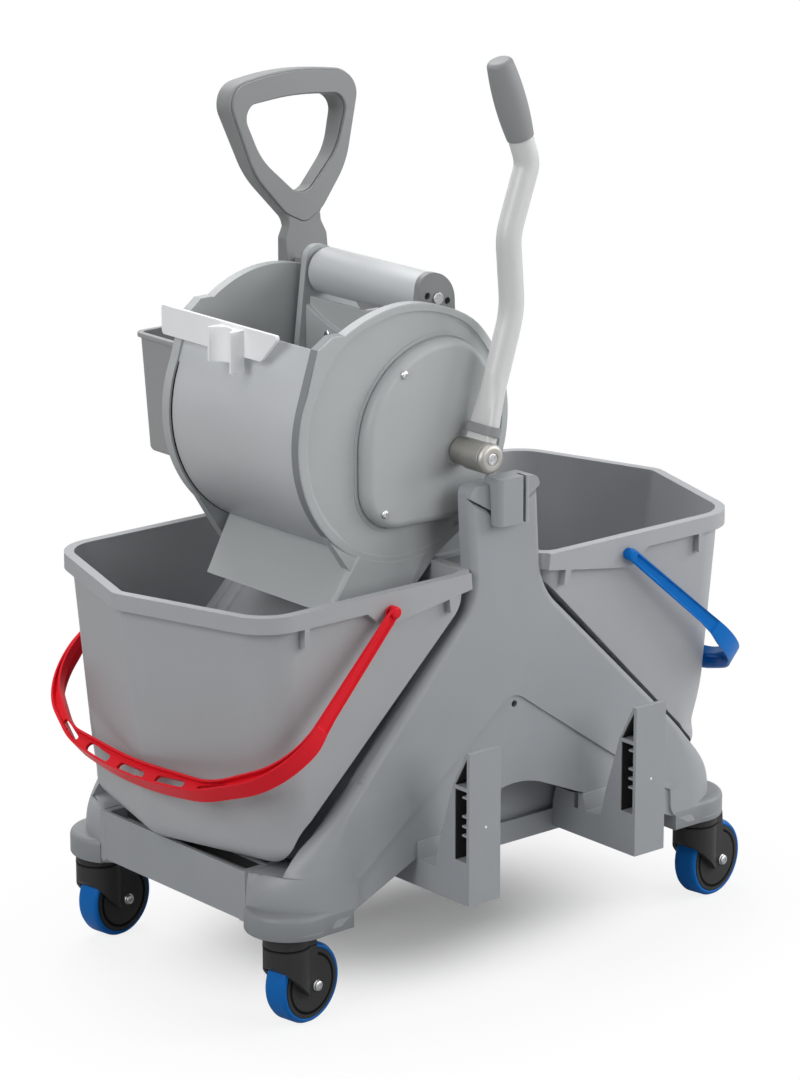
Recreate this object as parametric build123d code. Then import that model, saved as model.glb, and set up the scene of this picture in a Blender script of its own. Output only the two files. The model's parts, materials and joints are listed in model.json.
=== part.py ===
from build123d import *
import math
import os

# Two-bucket cleaning trolley with a lever wringer, millimetres.
# The floor is Z 0, X runs from one bucket to the other and the near side faces -Y.

# Chassis
ring_x, ring_y = 290.0, 181.0
beam_in, beam_low, beam_top = 258.0, 101.0, 151.0
rail_out, rail_in, rail_low, rail_top = 132.0, 114.0, 110.0, 133.0
rail_web_y, rail_web_x, rail_web_top = 126.0, 190.0, 205.0
corner_in, corner_r, corner_soft = 218.0, 60.0, 16.0
wall, rib = 4.0, 3.0
collar_x, collar_y, collar_r = 256.5, 141.0, 42.5
collar_low, collar_top = 94.0, 118.0
lean, lean_z, lean_y = 0.0678, 118.0, 181.0
frame_depth, frame_skin, frame_edge = 19.0, 4.5, 8.0
column_half, column_top, column_vee = 44.0, 481.0, 455.0
slope_sum, knee_x, foot_x, foot_low = 424.0, 194.0, 258.0, 104.0
arch_top, arch_r, recess_top = 199.0, 94.0, 284.0
recess_x, recess_y, recess_plate = 213.0, 168.5, 4.0
hole_x, hole_z, hole_r = 3.0, 270.0, 3.5
saddle_top = 402.0
cap_top, lug_top, lug_half, lug_y = 492.0, 499.0, 19.5, 172.0
bracket_x0, bracket_x1, bracket_step = 87.5, 127.2, 214.7

# Casters
stem_x, stem_y, stem_r, stem_top = 268.0, 150.6, 5.5, 128.0
wheel_r, wheel_w, core_r, tread_soft = 40.0, 26.0, 34.5, 4.5
groove_out, groove_in = 30.3, 28.4
trail, heading = 21.5, 9.0
fork_r, fork_top, fork_w, fork_gap = 22.5, 93.7, 38.0, 14.2
axle_r, axle_head_r = 4.0, 5.6
running = 0.05

# Buckets and bails
rim_z, floor_z = 412.0, 151.5
bucket_in, bucket_wall = 57.0, 3.0
lip, lip_h, lip_t = 7.0, 16.0, 2.5
bucket_slope = 446.0
guide_y, guide_r, guide_sunk = 133.5, 16.0, 12.0
pivot_x, pivot_z, bail_drop = 152.0, 394.0, 42.0
bail_up, bail_down, bail_web, bail_wall = 8.5, 11.0, 3.5, 2.4
bail_eye, bail_side, bail_t = 7.0, 168.2, 6.4
pin_r = 4.5
# grip windows: place along and across the band, tilt, length, height
windows = ((0.0, 245.5, 0.0, 40.0, 9.0), (57.0, 241.0, 7.8, 40.0, 9.0), (112.0, 230.1, 21.5, 36.0, 4.6))

# Wringer
drum_x, drum_z, drum_r, drum_t, lip_run = -83.0, 545.0, 127.0, 4.0, 57.0
plate_r, plate_in, plate_out = 130.0, 95.0, 107.0
dish_r, dish_floor, dish_soft = 122.0, 100.5, 5.0
shaft_x, shaft_z, shaft_r, bush_r = -26.5, 520.0, 10.0, 16.0
cover_out, cover_edge, cover_t = 119.0, 9.0, 3.0
rest_x, clip_y, clip_r = -206.0, 2.5, 16.0
roller_x, roller_z, roller_r, roller_half = -29.0, 664.0, 23.0, 80.5
arm_in, arm_out, roller_pin = 82.0, 89.5, 6.0
lever_y, tube_r, tube_t, foot_at, band_h = -142.0, 12.2, 2.0, 0.03, 9.5
foot_w, foot_t, band_t = 36.0, 13.5, 5.0
grip_low_r, grip_r, grip_top_r, grip_from, grip_over = 13.2, 15.4, 13.0, 0.25, 10.0
hub_r, hub_step, hub_mid, hub_end = 15.0, 1.4, -136.0, -161.5

# Push handle and tray
loop_y, loop_z, loop_tilt = 147.0, 690.0, 6.9
loop_t, loop_low_t = 32.0, 13.0
stem_half, neck_half, stem_front, stem_back = 26.0, 20.0, 142.0, 159.0
tray_x, tray_y0, tray_y1, tray_z0, tray_z1 = 136.0, 174.0, 249.0, 464.0, 588.0


def rounded(points):
    # closed outline in which each corner (x, y, radius) has its own radius
    turn = sum(a[0] * b[1] - b[0] * a[1] for a, b in zip(points, points[1:] + points[:1]))
    points = points if turn > 0 else points[::-1]
    count = len(points)
    corners = []
    for i, (x, y, r) in enumerate(points):
        p = Vector(x, y)
        a = (Vector(*points[i - 1][:2]) - p).normalized()
        b = (Vector(*points[(i + 1) % count][:2]) - p).normalized()
        if r == 0:
            corners.append((p, None, p))
            continue
        half = math.radians(a.get_angle(b)) / 2
        cut = r / math.tan(half)
        mid = p + (a + b).normalized() * (r / math.sin(half) - r)
        corners.append((p + a * cut, mid, p + b * cut))
    edges = []
    for i, (start, mid, end) in enumerate(corners):
        if mid is not None:
            edges.append(ThreePointArc(start, mid, end))
        following = corners[(i + 1) % count][0]
        if (following - end).length > 1e-6:
            edges.append(Line(end, following))
    return make_face(Wire(edges))


def both_sides(half):
    # outline symmetric about the second axis, from its right half listed top to bottom
    return rounded(half + [(-x, y, r) for x, y, r in reversed(half) if abs(x) > 1e-6])


def along_x(face, x0, x1):
    return extrude(Plane.YZ.offset(x0) * face, x1 - x0, dir=(1, 0, 0))


def along_y(face, y0, y1):
    return extrude(Plane.XZ.offset(-y1) * face, y1 - y0, dir=(0, -1, 0))


def along_z(face, z0, z1):
    return extrude(Plane.XY.offset(z0) * face, z1 - z0, dir=(0, 0, 1))


def block(x0, x1, y0, y1, z0, z1):
    return Pos((x0 + x1) / 2, (y0 + y1) / 2, (z0 + z1) / 2) * Box(x1 - x0, y1 - y0, z1 - z0)


def rod_y(x, z, r, y0, y1):
    return along_y(Pos(x, z) * Circle(r), y0, y1)


def rod_z(x, y, r, z0, z1):
    return along_z(Pos(x, y) * Circle(r), z0, z1)


def face_y(z):
    # outer face of the near side frame, which leans out towards the floor
    return -(lean_y - lean * (z - lean_z))


def slab(front, back, z0=80.0, z1=520.0):
    # leaning slab between two offsets behind the near side frame's face
    section = Polyline((face_y(z0) + front, z0), (face_y(z1) + front, z1),
                       (face_y(z1) + back, z1), (face_y(z0) + back, z0), close=True)
    return along_x(make_face(section), -330, 330)


def corner_plan():
    return rounded([(corner_in, -rail_in, 0), (ring_x, -rail_in, 0),
                    (ring_x, -ring_y, corner_r), (corner_in, -ring_y, 0)])


def collar():
    # bumper collar of two beads under the +X near corner
    r, z = collar_r, collar_low
    bead = Polyline((0, z), (r - 4, z), (r - 0.8, z + 2.4), (r, z + 6), (r - 0.8, z + 9.4), (r - 3.4, z + 12),
                    (r - 2, z + 14), (r - 2, z + 18), (r - 4, z + 22), (r - 8, collar_top), (0, collar_top),
                    close=True)
    return Pos(collar_x, -collar_y, 0) * revolve(Plane.XZ * make_face(bead), Axis.Z)


def frame_outline():
    return both_sides([(0, column_vee, 0), (column_half, column_top, 0),
                       (column_half, slope_sum - column_half, 66), (knee_x, slope_sum - knee_x, 90),
                       (foot_x, collar_top, 0), (foot_x, foot_low, 0),
                       (corner_in + wall, foot_low, 5), (0, arch_top, arch_r)])


def end_frame():
    # +X end of the base: channel beam with ribs, two corner posts, collars and caster sockets
    post = along_z(corner_plan(), beam_low, beam_top)
    rim = post.edges().filter_by(lambda e: e.center().Z > beam_top - 1 and e.center().Y < -rail_in - 1
                                 and e.center().X > corner_in + 1)
    post = fillet(rim, corner_soft)
    post -= along_z(offset(corner_plan(), -wall), beam_low, beam_top - corner_soft + wall)
    post += rod_z(stem_x, -stem_y, 2 * stem_r, collar_low, stem_top + 6)
    post += collar()
    post -= rod_z(stem_x, -stem_y, stem_r, collar_low, stem_top)
    post -= along_y(frame_outline(), -200, -100) & slab(-40, frame_depth)
    beam = block(beam_in, ring_x, -rail_in - 2, rail_in + 2, beam_low, beam_top)
    beam -= block(beam_in + wall, ring_x - wall, -rail_in, rail_in, beam_low + wall, beam_top)
    for y in (-76, -38, 0, 38, 76):
        beam += block(beam_in, ring_x, y - rib / 2, y + rib / 2, beam_low, beam_top - 14)
    return beam + post + mirror(post, about=Plane.XZ)


def side_rail():
    # near rail, hollow from below, with the upright web that closes the arch
    rail = block(-corner_in, corner_in, -rail_out, -rail_in, rail_low, rail_top)
    rail -= block(-corner_in, corner_in, -rail_out + wall, -rail_in - wall, rail_low, rail_top - wall)
    rail += block(-rail_web_x, rail_web_x, -rail_web_y, -rail_web_y + wall, rail_top, rail_web_top)
    return rail - collar() - mirror(collar(), about=Plane.YZ)


def side_frame():
    # leaning shelled A-frame with a sunk panel over the arch
    outline = frame_outline()
    recess = both_sides([(0, recess_top, 22), (recess_x, 133, 8), (recess_x, 90, 0)])
    body = along_y(outline, -200, -120) & slab(0, frame_depth)
    on_face = body.edges().filter_by(lambda e: abs(e.center().Y - face_y(e.center().Z)) < 1)
    above = on_face.filter_by(lambda e: e.center().Z > collar_top + 1)
    slopes = above.filter_by(lambda e: abs(e.center().X) + e.center().Z > 300)
    body = fillet(slopes, frame_edge)
    hollow = offset(outline, -wall) & (Pos(0, 300) * Rectangle(2 * corner_in + 4 * wall, 600))
    body -= along_y(hollow + recess, -200, -100) & slab(frame_skin, 60)
    body -= along_y(recess, -200, -recess_y)
    step = along_y((offset(recess, wall) - recess) & outline, -200, -recess_y + recess_plate)
    body += along_y(recess & outline, -recess_y, -recess_y + recess_plate) + (step & slab(0, frame_depth))
    behind = slab(frame_skin - 1, frame_depth - 2)
    for x in (-column_half / 2, column_half / 2):
        body += along_y(Pos(x, 370) * Rectangle(rib, 150), -200, -120) & behind
    for z in (330, 390):
        body += along_y((Pos(0, z) * Rectangle(400, rib)) & offset(outline, -2), -200, -120) & behind
    body &= along_z(both_sides([(ring_x, ring_y, corner_r), (ring_x, -ring_y, corner_r)]), 0, 600)
    return body - collar() - mirror(collar(), about=Plane.YZ) - rod_y(hole_x, hole_z, hole_r, -200, -120)


def saddle():
    # folded sheet that carries both buckets and the wringer between the side frames
    ridge, hem = column_half - 2, foot_x - 20
    outer = both_sides([(ridge, saddle_top, 6), (ridge, slope_sum - column_half - 2, 10),
                        (knee_x - 2, slope_sum - knee_x - 2, 40), (hem, beam_top + 1, 0)])
    inner = both_sides([(ridge - wall, saddle_top - wall, 3), (ridge - wall, slope_sum - column_half - 5, 8),
                        (knee_x - 6, slope_sum - knee_x - 4, 36), (hem - 5, beam_top + 1, 0)])
    shell = along_y(outer, -170, 170) - along_y(inner, -170, 170)
    in_front = slab(-40, frame_depth)
    return shell - in_front - mirror(in_front, about=Plane.XZ)


def column_cap():
    # cap of the near column with its slotted socket lug
    outline = both_sides([(column_half, cap_top, 9), (column_half, column_top, 0), (0, column_vee, 0)])
    cap = along_y(outline, -200, -120) & slab(-0.6, frame_depth)
    lug = rounded([(-lug_half, -150, 0), (lug_half, -150, 0), (lug_half, -lug_y, 5), (-lug_half, -lug_y, 5)])
    lug = along_z(lug, column_vee - 3, lug_top)
    column = both_sides([(0, column_vee, 0), (column_half, column_top, 0), (column_half, 400, 0)])
    cap += lug - (along_y(column, -200, -120) & slab(0, 60))
    return cap - block(9.5, 13, -180, -160, 440, 520)


def bracket():
    # hook bracket: ribbed upright with a hanging gap behind it and a slot over the frame's edge
    profile = Polyline((-252, 115), (-252, 268), (-247, 268), (-228.6, 233), (-209, 172), (-202, 143),
                       (-181, 143), (-176.5, 160), (-169.3, 160), (-169.3, 143), (-163.7, 143),
                       (-163.7, 158), (-137, 158), (-rail_out, 141), (-rail_out, 115), close=True)
    pocket = Polyline((-248, 158), (-248, 229), (-231.5, 229), (-231.5, 158), close=True)
    peak = Polyline((-248, 233), (-248, 262), (-231.5, 233), close=True)
    body = along_x(make_face(profile), bracket_x0, bracket_x1)
    body -= along_x(make_face(pocket), bracket_x0 - 7, bracket_x1 - 6)
    body -= along_x(make_face(peak), bracket_x0 - 7, bracket_x1 - 6)
    for z in (222, 203, 193, 184):
        body += block(bracket_x0 + 1.5, bracket_x1 - 3, -250, -240, z - 1.2, z + 1.2)
    return body


def caster(name):
    # swivel caster drawn at the +X near corner, turned to its heading and moved to its own corner
    axle_x = stem_x + trail
    side = wheel_w / 2
    core = rod_y(axle_x, wheel_r, core_r, -stem_y - side, -stem_y + side)
    groove = Circle(groove_out) - Circle(groove_in)
    for y in (-stem_y - side, -stem_y + side):
        core -= along_y(Pos(axle_x, wheel_r) * groove, y - 2, y + 2)
    core -= rod_y(axle_x, wheel_r, axle_r + running, -stem_y - 30, -stem_y + 30)
    tread = rod_y(axle_x, wheel_r, wheel_r, -stem_y - side, -stem_y + side)
    tread = chamfer(tread.edges(), tread_soft, tread_soft / 2)
    tread -= rod_y(axle_x, wheel_r, core_r, -stem_y - 30, -stem_y + 30)
    hood = Pos(stem_x, -stem_y) * Circle(fork_r)
    strip = Pos(stem_x + fork_r, -stem_y) * RectangleRounded(2 * fork_r, fork_w, 6)
    cheek = rounded([(stem_x - fork_r, fork_top, 0), (stem_x + fork_r - 1, fork_top, 0),
                     (stem_x + fork_r + 2, 62, 14), (axle_x + 9, 31, 9), (axle_x - 9, 31, 9),
                     (stem_x - fork_r, 66, 6)])
    fork = along_y(cheek, -stem_y - fork_r, -stem_y + fork_r)
    fork &= along_z(hood + strip, 0, fork_top)
    fork -= rod_y(axle_x, wheel_r, wheel_r + 2.2, -stem_y - fork_gap, -stem_y + fork_gap)
    fork -= block(stem_x - 60, axle_x + 60, -stem_y - fork_gap, -stem_y + fork_gap, 0, wheel_r)
    fork -= along_z(Pos(stem_x, -stem_y) * (Circle(40) - Circle(fork_r - 0.8)), 81, 82)
    fork -= rod_z(stem_x, -stem_y, stem_r + running, 84, 100)
    fork -= rod_y(axle_x, wheel_r, axle_r, -stem_y - 40, -stem_y + 40)
    axle = rod_y(axle_x, wheel_r, axle_r, -stem_y - fork_w / 2, -stem_y + fork_w / 2)
    head = rod_y(axle_x, wheel_r, axle_head_r, -stem_y - fork_w / 2 - 2.6, -stem_y - fork_w / 2)
    head = chamfer(head.edges().sort_by(Axis.Y)[:1], 1.3)
    axle += [head, mirror(head, about=Plane.XZ.offset(stem_y))]
    stem = rod_z(stem_x, -stem_y, stem_r, 84.5, stem_top)
    pieces = {"stem": stem, "fork": fork, "axle": axle, "wheel": core, "tread": tread}
    turn = Pos(stem_x, -stem_y, 0) * Rot(0, 0, heading) * Pos(-stem_x, stem_y, 0)
    sign_x, sign_y = (1 if "plus" in name else -1), (1 if "far" in name else -1)
    move = Pos((sign_x - 1) * stem_x, (sign_y + 1) * stem_y, 0)
    return {f"{name}_{k}": move * turn * v for k, v in pieces.items()}


def bucket_form(inset):
    # tapering wedge body with a blunt prow, drawn at +X, inset by the wall for its hollow
    top, low = rim_z + (1 if inset else 0), floor_z + inset

    def level(z):
        k = (z - floor_z) / (rim_z - floor_z)
        half_w, tip = 156 + 4 * k - inset, 316 + 30 * k - inset
        shoulder = tip - (0.28 + 0.035 * k) * half_w
        inner_r, tip_r, side_r = 34 - 16 * k - inset, 40 - 24 * k - inset, 42 - inset
        return Plane.XY.offset(z) * rounded([
            (bucket_in + inset, -half_w, inner_r), (shoulder, -half_w, side_r), (tip, 0, tip_r),
            (shoulder, half_w, side_r), (bucket_in + inset, half_w, inner_r)])

    form = loft([level(low), level(top)], ruled=True)
    keel = form.edges().filter_by(lambda e: e.center().Z < low + 0.1)
    form = fillet(keel, 24 - inset)
    slope = bucket_slope + inset * math.sqrt(2)
    ramp = rounded([(0, slope, 0), (256, slope - 256, 40), (272 + inset, 130, 0), (0, 130, 0)])
    return form - along_y(ramp, -250, 250)


def bucket():
    # bucket with a hooked rim, pivot webs at both sides and two guides down its inner slope
    body, hollow = bucket_form(0), bucket_form(bucket_wall)
    plan = Plane.XY * Pos(0, 0, -rim_z) * body.faces().sort_by(Axis.Z)[-1]
    body += along_z(offset(plan, lip), rim_z - lip_h, rim_z)
    body -= along_z(offset(plan, lip - lip_t) - plan, rim_z - lip_h, rim_z - lip_t)
    web = make_face(Polyline((60, rim_z - lip_h), (142, 381), (162, 381), (180, rim_z - lip_h),
                             (180, rim_z), (60, rim_z), close=True))
    side = along_y(web, 154, 160 + lip)
    for x in (83, 253):
        side += block(x - rib, x + rib, 154, 160 + lip, 377, rim_z)
    body += [side, mirror(side, about=Plane.XZ)]
    pin_hole = rod_y(pivot_x, pivot_z, pin_r + 0.3, 160.5, 180)
    body -= hollow + pin_hole + mirror(pin_hole, about=Plane.XZ)
    start = bucket_slope + (bucket_wall - guide_sunk) * math.sqrt(2) - bucket_in
    for y in (-guide_y, guide_y):
        guide = extrude(Plane((bucket_in, y, start), z_dir=(1, 0, -1)) * Circle(guide_r), 275)
        body += guide & hollow
    return body


def bail():
    # drawn flat with the pivot axis on its X axis, then dropped to its hanging angle
    outer = both_sides([(0, 256, 500), (100, 243, 120), (196.6, 196, 86), (bail_side + bail_t, -8, 0)])
    inner = both_sides([(0, 235, 500), (112, 227, 80), (190, 178, 70), (bail_side, -20, 0)])
    shelf = offset(outer, -bail_wall)
    strap = extrude(Plane.XY.offset(-bail_down) * (outer - inner), bail_down + bail_up)
    strap -= extrude(Plane.XY.offset(bail_web) * (shelf - offset(inner, bail_wall)), bail_up)
    strap -= extrude(Plane.XY.offset(-bail_down) * shelf, bail_down)
    under_arms = Polyline((-30, -30), (230, -30), (119, -bail_down), (-10, -5), (-30, -5), close=True)
    strap -= along_x(make_face(under_arms), -220, 220)
    for u, v, tilt, length, height in windows:
        hole = extrude(SlotOverall(length, height), 40, both=True)
        for side in (-1, 1):
            strap -= Pos(side * u, v) * Rot(0, 0, -side * tilt) * hole
    for side in (-1, 1):
        eye = Rot(0, 90, 0) * Cylinder(bail_eye, bail_t)
        pin = Rot(0, 90, 0) * Cylinder(pin_r, 8)
        strap += Pos(side * (bail_side + bail_t / 2), 0, 0) * eye + Pos(side * (bail_side - 3.5), 0, 0) * pin
    return Pos(pivot_x, 0, pivot_z) * Rot(0, bail_drop, 0) * Rot(0, 0, -90) * strap


def handle():
    # looped grip that leans back and thins towards its neck, on a flat stem, with a separate front inlay
    tilt = math.radians(loop_tilt)
    loop_plane = Plane((0, loop_y, loop_z), (1, 0, 0), (0, -math.cos(tilt), math.sin(tilt)))
    outline = both_sides([(0, 164, 320), (88, 151, 26), (60, 60, 90), (neck_half + 2, 14, 14),
                          (neck_half, -2, 0)])
    hole = both_sides([(0, 135, 300), (68, 129, 15), (48, 76, 70), (0, 31, 20)])
    panel = both_sides([(0, 161.5, 320), (85.2, 148.5, 23), (57.8, 60, 88), (23, 19, 30), (0, 7, 14)])
    loop = extrude(loop_plane * outline, -loop_t)
    wedge = Polyline((-20, -loop_low_t), (170, -loop_t), (170, -2 * loop_t), (-20, -2 * loop_t), close=True)
    loop -= loop_plane * along_x(make_face(wedge), -120, 120)
    loop = fillet(loop.edges().filter_by(lambda e: e.center().Z > loop_z + 18), 6)
    stem = both_sides([(neck_half, loop_z + 14, 0), (neck_half, loop_z + 7, 8), (stem_half, loop_z - 6, 8),
                       (stem_half, 560, 60), (column_half, 505, 30), (column_half, column_top, 0),
                       (0, column_vee, 0)])
    stem = along_y(stem, stem_front, stem_back)
    hook = rounded([(stem_front + 4, 660, 0), (stem_front - 12, 660, 0), (stem_front - 12, 671, 0),
                    (stem_front - 9, 671, 0), (stem_front - 9, 664, 0), (stem_front + 4, 664, 0)])
    hook = along_x(hook, -17, -13)
    in_front = extrude(loop_plane * Pos(0, 60) * Rectangle(240, 210), 60)
    seat = extrude(loop_plane * offset(panel, 0.4), -2.5)
    inlay = loop_plane * (panel - offset(hole, 1))
    inlay = extrude(inlay, -2.5) + extrude(inlay, 1.2)
    loop = loop + (stem - in_front) - seat - extrude(loop_plane * hole, 40, both=True)
    return loop + hook, inlay


def tray():
    def form(inset, top):
        def level(z):
            k = 1 - (z - tray_z0) / (tray_z1 - tray_z0)
            x, r = tray_x - 6.5 * k - inset, 9 - inset
            y0, y1 = tray_y0 + 2 * k + inset, tray_y1 - 5 * k - inset
            return Plane.XY.offset(z) * rounded([(-x, y0, r), (x, y0, r), (x, y1, r), (-x, y1, r)])
        return loft([level(tray_z0 + inset), level(top)], ruled=True)
    body = form(0, tray_z1)
    body = fillet(body.edges().filter_by(lambda e: e.center().Z < tray_z0 + 1), 7)
    rim = rounded([(-tray_x - 3, tray_y0 - 3, 11), (tray_x + 3, tray_y0 - 3, 11),
                   (tray_x + 3, tray_y1 + 3, 11), (-tray_x - 3, tray_y1 + 3, 11)])
    body += along_z(rim, tray_z1 - 5, tray_z1)
    body += block(-22, 22, stem_back, tray_y0 + 4, 505, 575)
    return body - form(3, tray_z1 + 1)


def drum_outline(r):
    # key points of the drum section: front lip, its root, the bottom and the back wall's end
    a, back = math.radians(162), math.radians(10)
    root = Vector(drum_x + r * math.cos(a), drum_z + r * math.sin(a))
    tip = root + Vector(math.sin(a), -math.cos(a)) * lip_run
    end = Vector(drum_x + r * math.cos(back), drum_z + r * math.sin(back))
    return tip, root, Vector(drum_x, drum_z - r), end


def drum():
    # open trough with drain slots in its floor
    tip, root, low, end = drum_outline(drum_r)
    tip2, root2, low2, end2 = drum_outline(drum_r - drum_t)
    section = make_face(Wire([Line(tip, root), ThreePointArc(root, low, end), Line(end, end2),
                              ThreePointArc(end2, low2, root2), Line(root2, tip2), Line(tip2, tip)]))
    shell = along_y(section, -plate_in, plate_in)
    for angle in (256, 284):
        for y in (-60, -20, 20, 60):
            shell -= Pos(drum_x, y, drum_z) * Rot(0, -angle, 0) * Pos(drum_r, 0, 0) * Box(30, 26, 8)
    return shell


def cover_outline():
    return rounded([(-140.5, 631, 98), (-140.5, 454, 44), (-10, 452, 24), (27, 512, 50), (27, 568, 50),
                    (-3, 631, 62)])


def end_plate():
    # near end plate: dished disc with the lug that carries the drum lip and a bead round the cover
    disc = Pos(drum_x, drum_z) * Circle(plate_r)
    lug = make_face(Polyline((-206, 584), (-189, 640), (-172, 653), (-158, 653), (-120, 600), close=True))
    plate = along_y(disc + lug, -plate_out, -plate_in)
    plate = chamfer(plate.faces().sort_by(Axis.Y)[0].edges(), 2)
    dish = rod_y(drum_x, drum_z, dish_r, -plate_out, -dish_floor)
    plate -= fillet(dish.edges().sort_by(Axis.Y)[-1:], dish_soft)
    bead = offset(cover_outline(), 4.6) - offset(cover_outline(), 1.4)
    plate += along_y(bead & (Pos(drum_x, drum_z) * Circle(dish_r)), -dish_floor - 2.4, -dish_floor)
    return plate - rod_y(shaft_x, shaft_z, bush_r, -150, -50)


def cover(bore_end):
    # near cover, its boss bored for the bush up to bore_end
    outline = cover_outline()
    shell = along_y(outline, -cover_out, -dish_floor)
    shell = fillet(shell.faces().sort_by(Axis.Y)[0].edges(), cover_edge)
    shell -= along_y(offset(outline, -cover_edge), -cover_out + cover_t, -dish_floor)
    shell += rod_y(shaft_x, shaft_z, bush_r + 4, -cover_out, -dish_floor)
    return shell - rod_y(shaft_x, shaft_z, bush_r, bore_end, -50)


def chute():
    def level(z, x0, x1, half, inset):
        x0, x1, y = x0 + inset, x1 - inset, half - inset
        return Plane.XY.offset(z) * rounded([(x0, -y, 6), (x1, -y, 6), (x1, y, 6), (x0, y, 6)])
    outer = loft([level(383, -182, -78, 82, 0), level(450, -133, -40, 96, 0)], ruled=True)
    inner = loft([level(382, -182, -78, 82, 3), level(451, -133, -40, 96, 3)], ruled=True)
    return outer - inner - rod_y(drum_x, drum_z, drum_r, -120, 120)


def pole_rest():
    # upright plate with one slanted end, a half-round clip in front and ribs back to the drum lip
    face = rounded([(-69, 649, 3), (114, 649, 3), (114, 620, 4), (-40, 620, 4)])
    plate = along_x(face, rest_x, rest_x + 4)
    plate += block(rest_x - clip_r, rest_x, clip_y - 18, clip_y + 18, 612, 646)
    plate += block(rest_x - clip_r, rest_x, clip_y - 18, clip_y - 15, 606, 612)
    plate -= rod_z(rest_x - 20, clip_y, clip_r, 600, 660)
    for y in (-14, 19, 88):
        plate += block(rest_x + 2, -186, y - rib / 2, y + rib / 2, 622, 636)
    tip, root, low, end = drum_outline(drum_r)
    behind = Polyline(root, tip, tip + Vector(60, 0), root + Vector(60, 0), close=True)
    return plate - along_y(make_face(behind), -94, 94)


def cradle():
    # cheeks under the drum that stand on the saddle
    base = block(-40, 40, -88, 88, saddle_top, saddle_top + 5)
    cheek = make_face(Polyline((-40, saddle_top), (40, saddle_top), (40, 520), (-40, 450), close=True))
    for y in (-84, -28, 20, 76):
        base += along_y(cheek, y, y + 8)
    return base - rod_y(drum_x, drum_z, drum_r, -120, 120)


def lever_path():
    return [(-18, 535), (20, 655), (14, 728), (38, 795), (1, 897)]


def lever():
    # bent tube with a flattened foot, the band round it and the hand grip
    a, b, c, d, e = [Vector(x, lever_y, z) for x, z in lever_path()]
    up = b - a
    start = a + up * 0.5
    run = e - d
    grip_start = d + run * grip_from
    finish = grip_start + run.normalized() * grip_over
    path = FilletPolyline(start, b, c, d, finish, radius=[90, 60, 24])
    at_start = Plane(start, z_dir=up, x_dir=(0, 1, 0))
    at_low = Plane(a + up * foot_at, z_dir=up, x_dir=(0, 1, 0))
    at_band = at_low.offset(band_h)
    bore = tube_r - tube_t
    flat, flat_bore = SlotOverall(foot_w, foot_t), SlotOverall(foot_w - 2 * tube_t, foot_t - 2 * tube_t)
    tube = sweep(at_start * Circle(tube_r), path) - sweep(at_start * Circle(bore), path)
    foot = loft([at_band * flat, at_start * Circle(tube_r)])
    foot -= loft([at_band * flat_bore, at_start * Circle(bore)])
    foot += extrude(at_low * (flat - flat_bore), band_h)
    foot += extrude(at_low * flat, -24) - rod_y(shaft_x, shaft_z, hub_r, -180, -100)
    band = extrude(at_low * (SlotOverall(foot_w + band_t, foot_t + band_t) - flat), band_h)
    length = (e - grip_start).length
    side = ThreePointArc((grip_low_r, 0), (grip_r, 28), (grip_top_r, length - 5))
    dome = ThreePointArc((grip_top_r, length - 5), (grip_top_r - 1.5, length - 1.5), (grip_top_r - 5, length))
    rest = Polyline((grip_top_r - 5, length), (0, length), (0, 0), (grip_low_r, 0))
    grip = revolve(Plane.XZ * make_face(Wire([side, dome, *rest.edges()])), Axis.Z)
    at_grip = Plane(grip_start, z_dir=run, x_dir=(0, 1, 0))
    grip = at_grip * (grip - rod_z(0, 0, tube_r, 0, grip_over))
    return tube + foot, band, grip


def hub():
    # stepped hub that carries the lever's foot on the shaft
    body = rod_y(shaft_x, shaft_z, hub_r, hub_end, hub_mid)
    body += rod_y(shaft_x, shaft_z, hub_r - hub_step, hub_mid, -cover_out - 1.5)
    return body - rod_y(shaft_x, shaft_z, shaft_r, -160, -100)


def bush(y0, y1):
    ring = Circle(bush_r) - Circle(shaft_r + running)
    return along_y(Pos(shaft_x, shaft_z) * ring, y0, y1)


def arm():
    # near swinging arm of the press, with its two lightening holes
    outline = rounded([(-50, 690, 14), (-62, 592, 60), (-58, 520, 24), (-44, 494, 16), (-9, 494, 16),
                       (-3, 540, 40), (-8, 690, 30)])
    body = along_y(outline, -arm_out, -arm_in)
    body -= rod_y(shaft_x, shaft_z, shaft_r, -120, 0) + rod_y(roller_x, roller_z, roller_pin, -120, 0)
    for side in (-1, 1):
        body -= rod_y(roller_x + 12.5 * side, roller_z - 4 * side, 3.5, -120, 0)
    return body


def paddle():
    # press plate with its curved top edge, and the sheet behind it that closes the gap to the roller
    face = rounded([(-arm_in, 545, 0), (arm_in, 545, 0), (arm_in, 632, 0), (-arm_in, 632, 0)])
    face -= Pos(0, 632 + 134) * Circle(156)
    sheet = rounded([(-arm_in, 590, 0), (arm_in, 590, 0), (arm_in, 640, 0), (-arm_in, 640, 0)])
    return along_x(face, -53, -48) + along_x(sheet, -48, -45)


def roller():
    body = rod_y(roller_x, roller_z, roller_r, -roller_half, roller_half)
    body = chamfer(body.edges(), 1.5)
    return body - rod_y(roller_x, roller_z, roller_pin + running, -100, 100)


def hub_cap():
    # rounded end of the hub with a sunk bolt seat
    cap = rod_y(shaft_x, shaft_z, hub_r, hub_end - 7, hub_end)
    cap = fillet(cap.edges().sort_by(Axis.Y)[:1], 5)
    return cap - rod_y(shaft_x, shaft_z, 6.5, hub_end - 9, hub_end - 5.5)


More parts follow.
